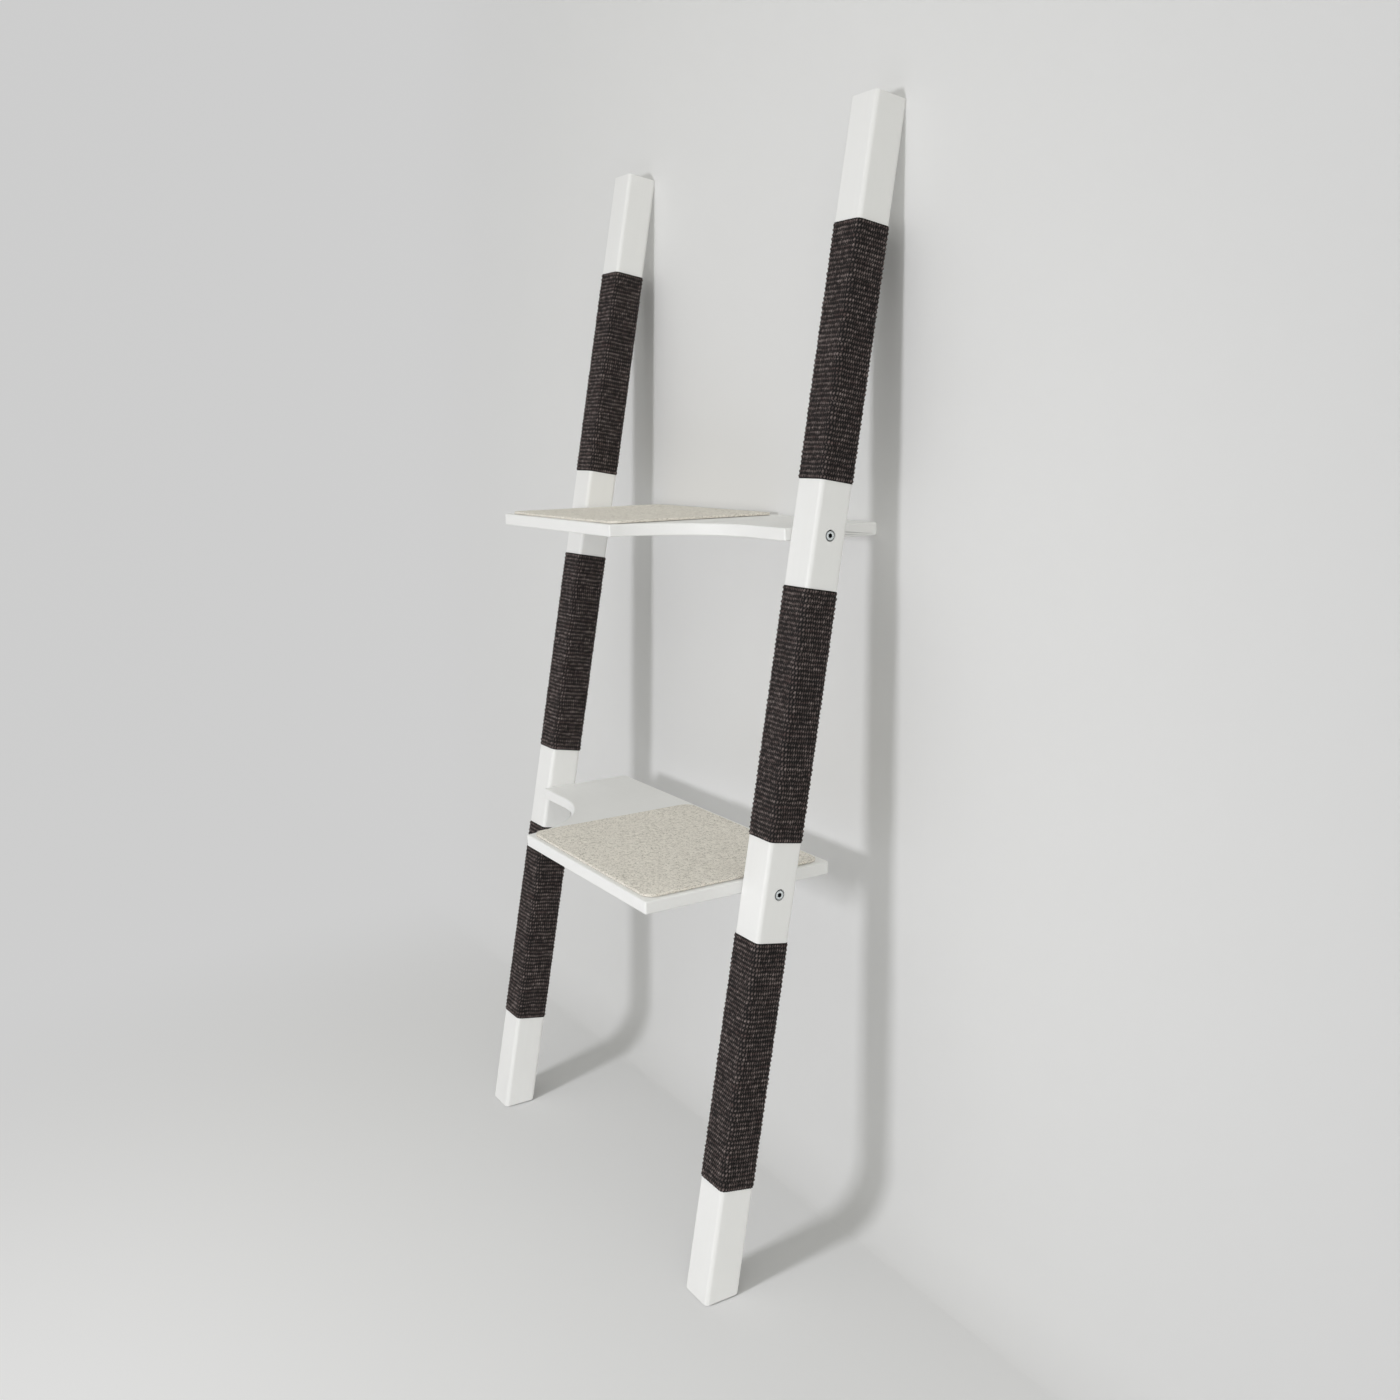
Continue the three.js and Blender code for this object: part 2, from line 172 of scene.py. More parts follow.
class CatTreeStudio(bpy.types.PropertyGroup):
    """Camera, light and backdrop"""

    camera: FloatVectorProperty(
        name="Camera",
        description="Place of the camera",
        unit="LENGTH",
        default=(1.9172, -1.0895, 1.2420),
    )
    yaw: FloatProperty(
        name="Yaw",
        description="Turn of the camera from looking along +Y",
        subtype="ANGLE",
        default=1.0195,
    )
    pitch: FloatProperty(
        name="Pitch", description="Tilt of the camera below level", subtype="ANGLE", default=0.1451
    )
    roll: FloatProperty(
        name="Roll", description="Roll of the camera", subtype="ANGLE", default=-0.0171
    )
    focal: FloatProperty(name="Focal Length", description="Focal length in pixels", default=1371.85)
    picture: IntProperty(
        name="Picture", description="Width and height of the picture in pixels", default=1400
    )
    centre: FloatVectorProperty(
        name="Centre",
        description="Pixel column and row that the camera's axis meets",
        size=2,
        default=(700.5, 630.12),
    )
    key: FloatVectorProperty(
        name="Key Lamp",
        description="Place of the main lamp",
        unit="LENGTH",
        default=(0.76, -3.39, 1.18),
    )
    key_colour: colour("Key Colour", "#FCFCFF", "Tint of the main lamp")
    key_size: length("Key Size", 0.45, "Width and height of the main lamp")
    key_power: FloatProperty(name="Key Power", description="Power of the main lamp", default=39.5)
    ambient: FloatProperty(
        name="Ambient", description="Strength of the soft light from all round", default=0.49
    )
    ambient_colour: colour("Ambient Colour", "#FFFFFA", "Tint of the soft light")
    ambient_top: FloatProperty(
        name="Ambient From Above",
        description="How much stronger the soft light is from above",
        default=0.68,
    )
    ambient_side: FloatProperty(
        name="Ambient From The Side",
        description="How much stronger the soft light is from the right",
        default=0.72,
    )
    cove: length("Cove", 0.08, "Radius where the floor turns up into the backdrop")
    floor_lean: FloatProperty(
        name="Floor Lean",
        description="How far the floor's shading leans towards the main lamp",
        default=1.4,
    )
    floor_lift: FloatProperty(
        name="Floor Lift",
        description="How much lighter the paper is on the floor than on the wall",
        default=1.19,
    )


GROUPS = {
    "cat_tree_posts": CatTreePosts,
    "cat_tree_mats": CatTreeMats,
    "cat_tree_pads": CatTreePads,
    "cat_tree_finishes": CatTreeFinishes,
    "cat_tree_studio": CatTreeStudio,
}


# Nodes and materials

# A Mix node set to colours has its share at input 0, its colours at 6 and 7 and its output at 2.
COLOUR_MIX = {"output": 2, "data_type": "RGBA"}


def add_node(tree, kind, inputs=None, output=0, **settings):
    """Adds a node and gives one of its outputs. An input is a value or another node's output."""
    node = tree.nodes.new(kind)
    for name, value in settings.items():
        setattr(node, name, value)
    for name, value in (inputs or {}).items():
        if isinstance(value, bpy.types.NodeSocket):
            tree.links.new(value, node.inputs[name])
        else:
            node.inputs[name].default_value = value
    return node.outputs[output] if node.outputs else None


def new_material(name):
    """An empty node material and its tree."""
    material = bpy.data.materials.new(name)
    material.use_nodes = True
    material.node_tree.nodes.clear()
    return material, material.node_tree


def rgba(value, factor=1.0):
    """A colour property, made lighter or darker by a factor, for a colour socket."""
    return (*(min(1.0, c * factor) for c in value), 1.0)


def per_metre(millimetres):
    """The scale of a pattern whose cells are this many millimetres wide."""
    return 1000.0 / millimetres


def sprayed_lacquer(finishes, name, turn, stretch):
    """Acrylic lacquer sprayed on planed wood, with its grain along the piece."""
    # Satin white with a soft gleam along the edges. The orange peel is drawn 2 mm wide, coarser
    # than real, so that it shows, and the grain of the wood tells through as faint long streaks.
    material, tree = new_material(name)
    place = add_node(tree, "ShaderNodeTexCoord", output="Object")
    turned = add_node(tree, "ShaderNodeMapping", {"Vector": place, "Rotation": (turn, 0.0, 0.0)})
    along = add_node(tree, "ShaderNodeMapping", {"Vector": turned, "Scale": stretch})
    grain = add_node(
        tree,
        "ShaderNodeTexNoise",
        {"Vector": along, "Scale": per_metre(5), "Detail": 4.0, "Roughness": 0.6},
    )
    peel = add_node(
        tree, "ShaderNodeTexNoise", {"Vector": place, "Scale": per_metre(2), "Detail": 1.0}
    )
    cloud = add_node(tree, "ShaderNodeTexNoise", {"Vector": place, "Scale": per_metre(90)})
    streaks = add_node(
        tree,
        "ShaderNodeMapRange",
        {"Value": grain, "From Min": 0.35, "From Max": 0.75, "To Max": 0.5},
    )
    patches = add_node(
        tree,
        "ShaderNodeMapRange",
        {"Value": cloud, "From Min": 0.3, "From Max": 0.7, "To Max": 0.4},
    )
    white, dull = rgba(finishes.lacquer), rgba(finishes.lacquer, 0.965)
    streaked = add_node(tree, "ShaderNodeMix", {0: streaks, 6: white, 7: dull}, **COLOUR_MIX)
    tone = add_node(tree, "ShaderNodeMix", {0: patches, 6: streaked, 7: dull}, **COLOUR_MIX)
    gloss = add_node(
        tree,
        "ShaderNodeMapRange",
        {"Value": cloud, "From Min": 0.3, "From Max": 0.7, "To Min": 0.44, "To Max": 0.52},
    )
    height = add_node(tree, "ShaderNodeMath", {0: grain, 1: 0.4, 2: peel}, operation="MULTIPLY_ADD")
    normal = add_node(
        tree, "ShaderNodeBump", {"Height": height, "Distance": 0.00005, "Strength": 0.6}
    )
    shader = add_node(
        tree,
        "ShaderNodeBsdfPrincipled",
        {"Base Color": tone, "Roughness": gloss, "IOR": 1.49, "Normal": normal},
    )
    add_node(tree, "ShaderNodeOutputMaterial", {"Surface": shader})
    return material


def woven_sisal(finishes):
    """Dyed sisal yarn woven in ribs of loops."""
    # Dull, with painted shade that turns it nearly black between the ribs and between the fibres,
    # painted highlights on the paler tops of some loops, and stretches of yarn that took the dye
    # redder. The fibres are drawn 0.8 mm apart, coarser than real, so that they show.
    material, tree = new_material("woven_dyed_sisal")
    place = add_node(tree, "ShaderNodeTexCoord", output="Object")
    relief = add_node(tree, "ShaderNodeAttribute", output="Fac", attribute_name="relief")
    strand = add_node(tree, "ShaderNodeAttribute", output="Fac", attribute_name="strand")
    along = add_node(tree, "ShaderNodeMapping", {"Vector": place, "Scale": (0.35, 0.35, 1.0)})
    fibre = add_node(
        tree,
        "ShaderNodeTexNoise",
        {"Vector": along, "Scale": per_metre(0.8), "Detail": 3.0, "Roughness": 0.7},
    )
    streak = add_node(tree, "ShaderNodeMapping", {"Vector": place, "Scale": (0.25, 0.25, 1.0)})
    patch = add_node(
        tree, "ShaderNodeTexNoise", {"Vector": streak, "Scale": per_metre(9), "Detail": 2.0}
    )
    long_streak = add_node(
        tree,
        "ShaderNodeTexNoise",
        {"Vector": streak, "Scale": per_metre(5), "Detail": 3.0, "Roughness": 0.6},
    )
    mixed = add_node(
        tree, "ShaderNodeMath", {0: strand, 1: 0.35, 2: long_streak}, operation="MULTIPLY_ADD"
    )
    # Painted highlight: some loops, chosen at random and in long streaks, turn paler on their tops.
    highlight_share = add_node(
        tree, "ShaderNodeMapRange", {"Value": mixed, "From Min": 0.5, "From Max": 0.95}
    )
    toned = add_node(
        tree,
        "ShaderNodeMix",
        {0: highlight_share, 6: rgba(finishes.sisal), 7: rgba(finishes.sisal_highlight)},
        **COLOUR_MIX,
    )
    redness = add_node(
        tree,
        "ShaderNodeMapRange",
        {"Value": patch, "From Min": 0.56, "From Max": 0.7, "To Max": 0.75},
    )
    dyed = add_node(
        tree, "ShaderNodeMix", {0: redness, 6: toned, 7: rgba(finishes.sisal_red)}, **COLOUR_MIX
    )
    # Painted shade between the fibres, and below between the ribs: both mix to the near-black
    # groove colour.
    shade_between_fibres = add_node(
        tree,
        "ShaderNodeMapRange",
        {"Value": fibre, "From Min": 0.35, "From Max": 0.6, "To Min": 0.6, "To Max": 0.0},
    )
    with_fibre_shade = add_node(
        tree, "ShaderNodeMix", {0: shade_between_fibres, 6: dyed, 7: rgba(finishes.sisal_groove_shade)}, **COLOUR_MIX
    )
    height = add_node(
        tree, "ShaderNodeMapRange", {"Value": relief, "From Min": 0.35, "From Max": 0.95}
    )
    tone = add_node(
        tree, "ShaderNodeMix", {0: height, 6: rgba(finishes.sisal_groove_shade), 7: with_fibre_shade}, **COLOUR_MIX
    )
    normal = add_node(
        tree, "ShaderNodeBump", {"Height": fibre, "Distance": 0.0004, "Strength": 0.8}
    )
    shader = add_node(
        tree,
        "ShaderNodeBsdfPrincipled",
        {"Base Color": tone, "Roughness": 0.85, "Specular IOR Level": 0.4, "Normal": normal},
    )
    add_node(tree, "ShaderNodeOutputMaterial", {"Surface": shader})
    return material


def needled_felt(finishes):
    """Undyed wool of several tones, needled into felt."""
    # Matt oatmeal, mottled, with short dark and light fibres lying every way and a soft fuzzy
    # gleam. The fibres are drawn about 1.4 mm apart, coarser than real, so that they show.
    material, tree = new_material("needled_wool_felt")
    place = add_node(tree, "ShaderNodeTexCoord", output="Object")
    mottle = add_node(
        tree,
        "ShaderNodeTexNoise",
        {"Vector": place, "Scale": per_metre(5), "Detail": 4.0, "Roughness": 0.65},
    )
    cloud = add_node(
        tree, "ShaderNodeMapRange", {"Value": mottle, "From Min": 0.35, "From Max": 0.68}
    )
    tone = add_node(
        tree,
        "ShaderNodeMix",
        {0: cloud, 6: rgba(finishes.felt), 7: rgba(finishes.felt, 0.92)},
        **COLOUR_MIX,
    )
    for angle in (0.3, 1.35, 2.4):
        for turn, low, high, fibre_colour in (
            (angle, 0.555, 0.7, finishes.felt_dark),
            (angle + 0.5, 0.57, 0.72, finishes.felt_light),
        ):
            turned = add_node(
                tree, "ShaderNodeMapping", {"Vector": place, "Rotation": (0.0, 0.0, turn)}
            )
            drawn = add_node(
                tree, "ShaderNodeMapping", {"Vector": turned, "Scale": (0.17, 1.0, 1.0)}
            )
            fibre = add_node(
                tree,
                "ShaderNodeTexNoise",
                {"Vector": drawn, "Scale": per_metre(1.4), "Detail": 2.0, "Roughness": 0.6},
            )
            shown = add_node(
                tree, "ShaderNodeMapRange", {"Value": fibre, "From Min": low, "From Max": high}
            )
            tone = add_node(
                tree, "ShaderNodeMix", {0: shown, 6: tone, 7: rgba(fibre_colour)}, **COLOUR_MIX
            )
    fuzz = add_node(
        tree,
        "ShaderNodeTexNoise",
        {"Vector": place, "Scale": per_metre(1.6), "Detail": 4.0, "Roughness": 0.75},
    )
    normal = add_node(tree, "ShaderNodeBump", {"Height": fuzz, "Distance": 0.0005, "Strength": 0.6})
    shader = add_node(
        tree,
        "ShaderNodeBsdfPrincipled",
        {
            "Base Color": tone,
            "Roughness": 0.95,
            "Sheen Weight": 0.15,
            "Sheen Roughness": 0.6,
            "Normal": normal,
        },
    )
    add_node(tree, "ShaderNodeOutputMaterial", {"Surface": shader})
    return material


def bright_zinc(metal, name):
    """Turned steel, zinc plated and clear passivated."""
    # Cool bright metal, clouded a little by handling, over very fine turning marks. Made dark, the
    # same finish paints the shade down in a screw's socket.
    material, tree = new_material(name)
    place = add_node(tree, "ShaderNodeTexCoord", output="Object")
    drawn = add_node(tree, "ShaderNodeMapping", {"Vector": place, "Scale": (1.0, 1.0, 0.2)})
    marks = add_node(
        tree, "ShaderNodeTexNoise", {"Vector": drawn, "Scale": per_metre(0.8), "Detail": 3.0}
    )
    stain = add_node(tree, "ShaderNodeTexNoise", {"Vector": place, "Scale": per_metre(4)})
    clouds = add_node(
        tree, "ShaderNodeMapRange", {"Value": stain, "From Min": 0.4, "From Max": 0.7}
    )
    tone = add_node(
        tree, "ShaderNodeMix", {0: clouds, 6: rgba(metal), 7: rgba(metal, 0.85)}, **COLOUR_MIX
    )
    gloss = add_node(
        tree,
        "ShaderNodeMapRange",
        {"Value": marks, "From Min": 0.3, "From Max": 0.7, "To Min": 0.26, "To Max": 0.4},
    )
    normal = add_node(
        tree, "ShaderNodeBump", {"Height": marks, "Distance": 0.00002, "Strength": 0.5}
    )
    shader = add_node(
        tree,
        "ShaderNodeBsdfPrincipled",
        {"Base Color": tone, "Metallic": 1.0, "Roughness": gloss, "Normal": normal},
    )
    add_node(tree, "ShaderNodeOutputMaterial", {"Surface": shader})
    return material


def bare_beech(finishes):
    """Turned beech, left bare."""
    # Warm and matt, with short dark flecks along the grain.
    material, tree = new_material("bare_turned_beech")
    place = add_node(tree, "ShaderNodeTexCoord", output="Object")
    drawn = add_node(tree, "ShaderNodeMapping", {"Vector": place, "Scale": (0.1, 1.0, 1.0)})
    grain = add_node(
        tree, "ShaderNodeTexNoise", {"Vector": drawn, "Scale": per_metre(2), "Detail": 4.0}
    )
    flecks = add_node(
        tree, "ShaderNodeMapRange", {"Value": grain, "From Min": 0.45, "From Max": 0.7}
    )
    tone = add_node(
        tree,
        "ShaderNodeMix",
        {0: flecks, 6: rgba(finishes.beech), 7: rgba(finishes.beech, 0.6)},
        **COLOUR_MIX,
    )
    normal = add_node(
        tree, "ShaderNodeBump", {"Height": grain, "Distance": 0.00005, "Strength": 0.6}
    )
    shader = add_node(
        tree, "ShaderNodeBsdfPrincipled", {"Base Color": tone, "Roughness": 0.7, "Normal": normal}
    )
    add_node(tree, "ShaderNodeOutputMaterial", {"Surface": shader})
    return material


def moulded_rubber(finishes):
    """Moulded rubber."""
    # Charcoal and matt, with the fine even grain of its mould.
    material, tree = new_material("moulded_rubber")
    place = add_node(tree, "ShaderNodeTexCoord", output="Object")
    grain = add_node(
        tree, "ShaderNodeTexNoise", {"Vector": place, "Scale": per_metre(0.8), "Detail": 2.0}
    )
    tone = add_node(
        tree,
        "ShaderNodeMix",
        {0: grain, 6: rgba(finishes.rubber), 7: rgba(finishes.rubber, 1.3)},
        **COLOUR_MIX,
    )
    normal = add_node(
        tree, "ShaderNodeBump", {"Height": grain, "Distance": 0.0001, "Strength": 0.6}
    )
    shader = add_node(
        tree, "ShaderNodeBsdfPrincipled", {"Base Color": tone, "Roughness": 0.85, "Normal": normal}
    )
    add_node(tree, "ShaderNodeOutputMaterial", {"Surface": shader})
    return material


def woven_hook_tape(finishes):
    """Nylon hook tape."""
    # Nearly black, with rows of small hooks 1.2 mm apart, each painted lighter in its middle: a
    # painted highlight where it catches the light.
    material, tree = new_material("woven_hook_tape")
    place = add_node(tree, "ShaderNodeTexCoord", output="Object")
    hooks = add_node(
        tree, "ShaderNodeTexVoronoi", {"Vector": place, "Scale": per_metre(1.2), "Randomness": 0.2}
    )
    # Painted highlight: lighter in the middle of each hook.
    tone = add_node(
        tree,
        "ShaderNodeMix",
        {0: hooks, 6: rgba(finishes.hook_tape, 1.6), 7: rgba(finishes.hook_tape)},
        **COLOUR_MIX,
    )
    normal = add_node(
        tree, "ShaderNodeBump", {"Height": hooks, "Distance": 0.0002, "Strength": 0.8}, invert=True
    )
    shader = add_node(
        tree,
        "ShaderNodeBsdfPrincipled",
        {"Base Color": tone, "Roughness": 0.6, "IOR": 1.53, "Normal": normal},
    )
    add_node(tree, "ShaderNodeOutputMaterial", {"Surface": shader})
    return material


# Meshes


def new_piece(name, points, faces, material, place=None):
    """A smooth mesh object from points in metres and lists of corners."""
    mesh = bpy.data.meshes.new(name)
    mesh.from_pydata(points, [], faces)
    mesh.update()
    mesh.polygons.foreach_set("use_smooth", [True] * len(mesh.polygons))
    mesh.materials.append(material)
    piece = bpy.data.objects.new(name, mesh)
    bpy.context.scene.collection.objects.link(piece)
    if place is not None:
        piece.matrix_world = place
    return piece


# Radii that break the edges, and what counts as one corner, one flat face and a real edge.
SHARP_EDGE = 0.0002
SOFT_EDGE = 0.0007
JOIN_DISTANCE = 0.00001
FLAT_ANGLE = math.radians(0.5)
EDGE_ANGLE = math.radians(35)
LARGE_FACES_FIRST = 100


def paint_nodes(names, material, edge=SHARP_EDGE):
    """Gives CAD nodes a material, flat faces that shade flat, and edges broken by a radius."""
    for name in names:
        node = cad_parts[name]
        node.data.materials.clear()
        node.data.materials.append(material)
        node.data.polygons.foreach_set("use_smooth", [True] * len(node.data.polygons))
        node.modifiers.new("join_corners", "WELD").merge_threshold = JOIN_DISTANCE
        flat = node.modifiers.new("join_flats", "DECIMATE")
        flat.decimate_type = "DISSOLVE"
        flat.angle_limit = FLAT_ANGLE
        bevel = node.modifiers.new("break_edges", "BEVEL")
        bevel.width = edge
        bevel.segments = 2
        bevel.limit_method = "ANGLE"
        bevel.angle_limit = EDGE_ANGLE
        shade = node.modifiers.new("flat_faces", "WEIGHTED_NORMAL")
        shade.weight = LARGE_FACES_FIRST


# How wide a screw's socket is, and how far from the middle of the screw it can begin: the faces
# there get painted shade.
SOCKET_RADIUS = 0.0035
SOCKET_START = 0.04


def paint_socket_shade(names, material):
    """Gives the faces of a screw's socket, close to its axis in its head, a dark material: painted
    shade.
    """
    for name in names:
        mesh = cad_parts[name].data
        mesh.materials.append(material)
        low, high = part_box(name)
        axis = (low + high) / 2
        for face in mesh.polygons:
            away = math.hypot(face.center.y - axis.y, face.center.z - axis.z)
            in_head = abs(face.center.x) > abs(axis.x) + SOCKET_START
            face.material_index = 1 if in_head and away < SOCKET_RADIUS else 0


def nodes_ending(*endings):
    """Names of the CAD nodes that end in one of these ways, in order."""
    return sorted(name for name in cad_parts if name.endswith(endings))


TOLERANCE = 1e-9


def round_post(width, depth, radius, distances):
    """Places and outward directions along a rounded rectangle, from the middle of its back."""
    x, y, quarter = width / 2 - radius, depth / 2 - radius, math.pi / 2 * radius
    stretches = [
        ("line", x, (0.0, depth / 2), (1.0, 0.0)),
        ("arc", quarter, (x, y), 90.0),
        ("line", 2 * y, (width / 2, y), (0.0, -1.0)),
        ("arc", quarter, (x, -y), 0.0),
        ("line", 2 * x, (x, -depth / 2), (-1.0, 0.0)),
        ("arc", quarter, (-x, -y), -90.0),
        ("line", 2 * y, (-width / 2, -y), (0.0, 1.0)),
        ("arc", quarter, (-x, y), -180.0),
        ("line", x, (-x, depth / 2), (1.0, 0.0)),
    ]
    places = np.zeros((len(distances), 2))
    outwards = np.zeros((len(distances), 2))
    start = 0.0
    for kind, size, origin, way in stretches:
        here = (distances >= start - TOLERANCE) & (distances <= start + size + TOLERANCE)
        along = distances[here] - start
        if kind == "line":
            places[here] = np.array(origin) + along[:, None] * np.array(way)
            outwards[here] = (-way[1], way[0])
        else:
            angles = math.radians(way) - along / radius
            outwards[here] = np.stack([np.cos(angles), np.sin(angles)], 1)
            places[here] = np.array(origin) + radius * outwards[here]
        start += size
    return places, outwards


def perimeter(width, depth, radius):
    """Length of a rounded rectangle's outline."""
    return 2 * (width + depth) - 8 * radius + 2 * math.pi * radius


# The weave. Steps, slant and drift are in ribs and loops, and heights are shares of its depth.
RIB_STEPS = (-0.5, -0.33, -0.17, 0.0, 0.17, 0.33)
STEPS_PER_LOOP = 6
LOOP_SLANT = 0.35
LOOP_DRIFT = 0.2
LOOP_JITTER = 0.05
LOOP_GAP = 0.85
LOOP_UNEVEN = 0.4
CREST_SHARPNESS = 1.1
LOOP_SHARPNESS = 1.2
VALLEY_SHARPNESS = 5
VALLEY_LOOP_SHARPNESS = 0.8
VALLEY_HEIGHT = 0.6
FIBRE_ROUGHNESS = 0.07
HIGHEST = 1.1


def weave(rib_count, loop_count, random):
    """Rows, columns, the height of the weave at each, and a random number for each loop.

    Each rib is a row of loops over a rope, and smaller loops lie in the valleys between the ribs.
    """
    rib = np.append(np.repeat(np.arange(rib_count), len(RIB_STEPS)), rib_count - 1)
    across = np.append(np.tile(RIB_STEPS, rib_count), 0.5)
    column = np.arange(loop_count * STEPS_PER_LOOP + 1) / STEPS_PER_LOOP
    drift = np.cumsum(random.normal(0.0, LOOP_DRIFT, rib_count))
    drift = drift + random.normal(0.0, LOOP_JITTER, rib_count)
    phase = column[None, :] + (LOOP_SLANT * across + drift[rib])[:, None]
    loop = np.floor(phase + 0.5).astype(int)
    crest = np.cos(np.pi * across)[:, None] ** CREST_SHARPNESS
    crest_loops = 1 - LOOP_GAP * (1 - np.abs(np.cos(np.pi * phase)) ** LOOP_SHARPNESS)
    valley = np.abs(np.sin(np.pi * across))[:, None] ** VALLEY_SHARPNESS
    valley_loops = VALLEY_HEIGHT * np.abs(np.sin(np.pi * phase)) ** VALLEY_LOOP_SHARPNESS
    uneven = random.random((rib_count, loop_count)) - 0.5
    which = rib[:, None], loop % loop_count
    strand = random.random((rib_count, loop_count))[which]
    height = np.maximum(crest * crest_loops, valley * valley_loops)
    height = height * (1 + LOOP_UNEVEN * uneven[which])
    height = height + random.normal(0.0, FIBRE_ROUGHNESS, height.shape)
    rows = (rib + 0.5 + across) / rib_count
    return rows, column / loop_count, np.clip(height, 0.0, HIGHEST), strand


def post_place(posts, side, along):
    """The frame of a mat: X across its post, Y through the post from its middle, Z along it."""
    lean = Matrix.Rotation(-posts.lean, 4, "X")
    foot = Matrix.Translation((side * posts.centre_x, posts.foot_y, 0.0))
    return foot @ lean @ Matrix.Translation((0.0, posts.depth / 2, along))


# How far the ribs wander, how near a mat's ends they run straight, the way round a post for the
# waves in which they wander, and the gap behind a mat.
RIB_WANDER = 0.0005
STRAIGHT_END = 0.007
ROUND_POST = 0.2
BACK_GAP = 0.0005


def make_mat(name, place, posts, mats, material, seed):
    """One mat: woven face, plain back, cut ends, and the seam where its two ends meet."""
    random = np.random.default_rng(seed)
    rows, columns, height, strand = weave(mats.rib_count, mats.loop_count, random)
    along, across = np.meshgrid(rows * mats.length, columns * ROUND_POST, indexing="ij")
    inside = np.clip(np.minimum(along, mats.length - along) / STRAIGHT_END, 0, 1)
    waves = soft_waves(along, across, random, waves=14, longest=0.04, shortest=0.008)
    along = along + inside * RIB_WANDER * waves
    groove = mats.proud - mats.relief
    width, depth = posts.width + 2 * groove, posts.depth + 2 * groove
    radius = mats.edge_radius + groove
    around = mats.seam / 2 + columns * (perimeter(width, depth, radius) - mats.seam)
    places, outwards = round_post(width, depth, radius, around)
    face = places[None] + outwards[None] * (height * mats.relief)[..., None]
    back = places - outwards * (mats.thickness + groove - BACK_GAP)
    last = len(rows) + 2
    points = np.zeros((len(columns), last, 3))
    points[:, : len(rows), :2] = face.transpose(1, 0, 2)
    points[:, : len(rows), 2] = along.T
    points[:, len(rows), :2] = back
    points[:, len(rows), 2] = mats.length
    points[:, len(rows) + 1, :2] = back
    corner = np.arange(len(columns) * last).reshape(len(columns), last)
    ahead, up = corner[1:], np.roll(corner, -1, 1)
    quads = np.stack([corner[:-1], up[:-1], up[1:], ahead], -1).reshape(-1, 4)
    faces = quads.tolist() + [corner[0][::-1].tolist(), corner[-1].tolist()]
    piece = new_piece(name, points.reshape(-1, 3), faces, material, place)
    for label, values in (("relief", height), ("strand", strand)):
        full = np.zeros((len(columns), last), np.float32)
        full[:, : len(rows)] = values.T
        piece.data.attributes.new(label, "FLOAT", "POINT").data.foreach_set("value", full.ravel())
    return piece


# Grid lines over a pad's edge and the border that stays even, both in radii of the edge, and the
# most that the felt may swell.
EDGE_LINES = (0.0, 0.12, 0.4, 1.0, 2.2)
EVEN_BORDER = 4
SWELL_LIMIT = 0.0006


def pad_lines(size, corner, cell, edge):
    """Grid lines across a pad: close together at its edges, even between its corners."""
    near = [edge * share for share in EDGE_LINES]
    steps = max(2, round((corner - near[-1]) / cell))
    in_corner = list(np.linspace(near[-1], corner, steps + 1))[1:]
    start = near + in_corner
    middle_steps = max(2, round((size - 2 * corner) / cell))
    middle = list(np.linspace(corner, size - corner, middle_steps + 1))[1:-1]
    return np.array(start + middle + [size - s for s in reversed(start)])


def round_corners(x, y, width, depth, radius):
    """Moves the points of a rectangle's grid so that its corners turn round."""
    u = np.clip((np.abs(x - width / 2) - (width / 2 - radius)) / radius, 0, 1)
    v = np.clip((np.abs(y - depth / 2) - (depth / 2 - radius)) / radius, 0, 1)
    sign_x, sign_y = np.sign(x - width / 2), np.sign(y - depth / 2)
    new_u, new_v = u * np.sqrt(1 - v * v / 2), v * np.sqrt(1 - u * u / 2)
    return x + sign_x * (new_u - u) * radius, y + sign_y * (new_v - v) * radius


def soft_waves(x, y, random, waves=9, longest=0.16, shortest=0.03):
    """A smooth uneven surface, about -1 to 1, from a few random waves."""
    total = np.zeros_like(x)
    for _ in range(waves):
        angle, phase = random.uniform(0, 2 * math.pi, 2)
        size = random.uniform(shortest, longest)
        total += np.sin(2 * math.pi * (x * math.cos(angle) + y * math.sin(angle)) / size + phase)
    return total / math.sqrt(waves)


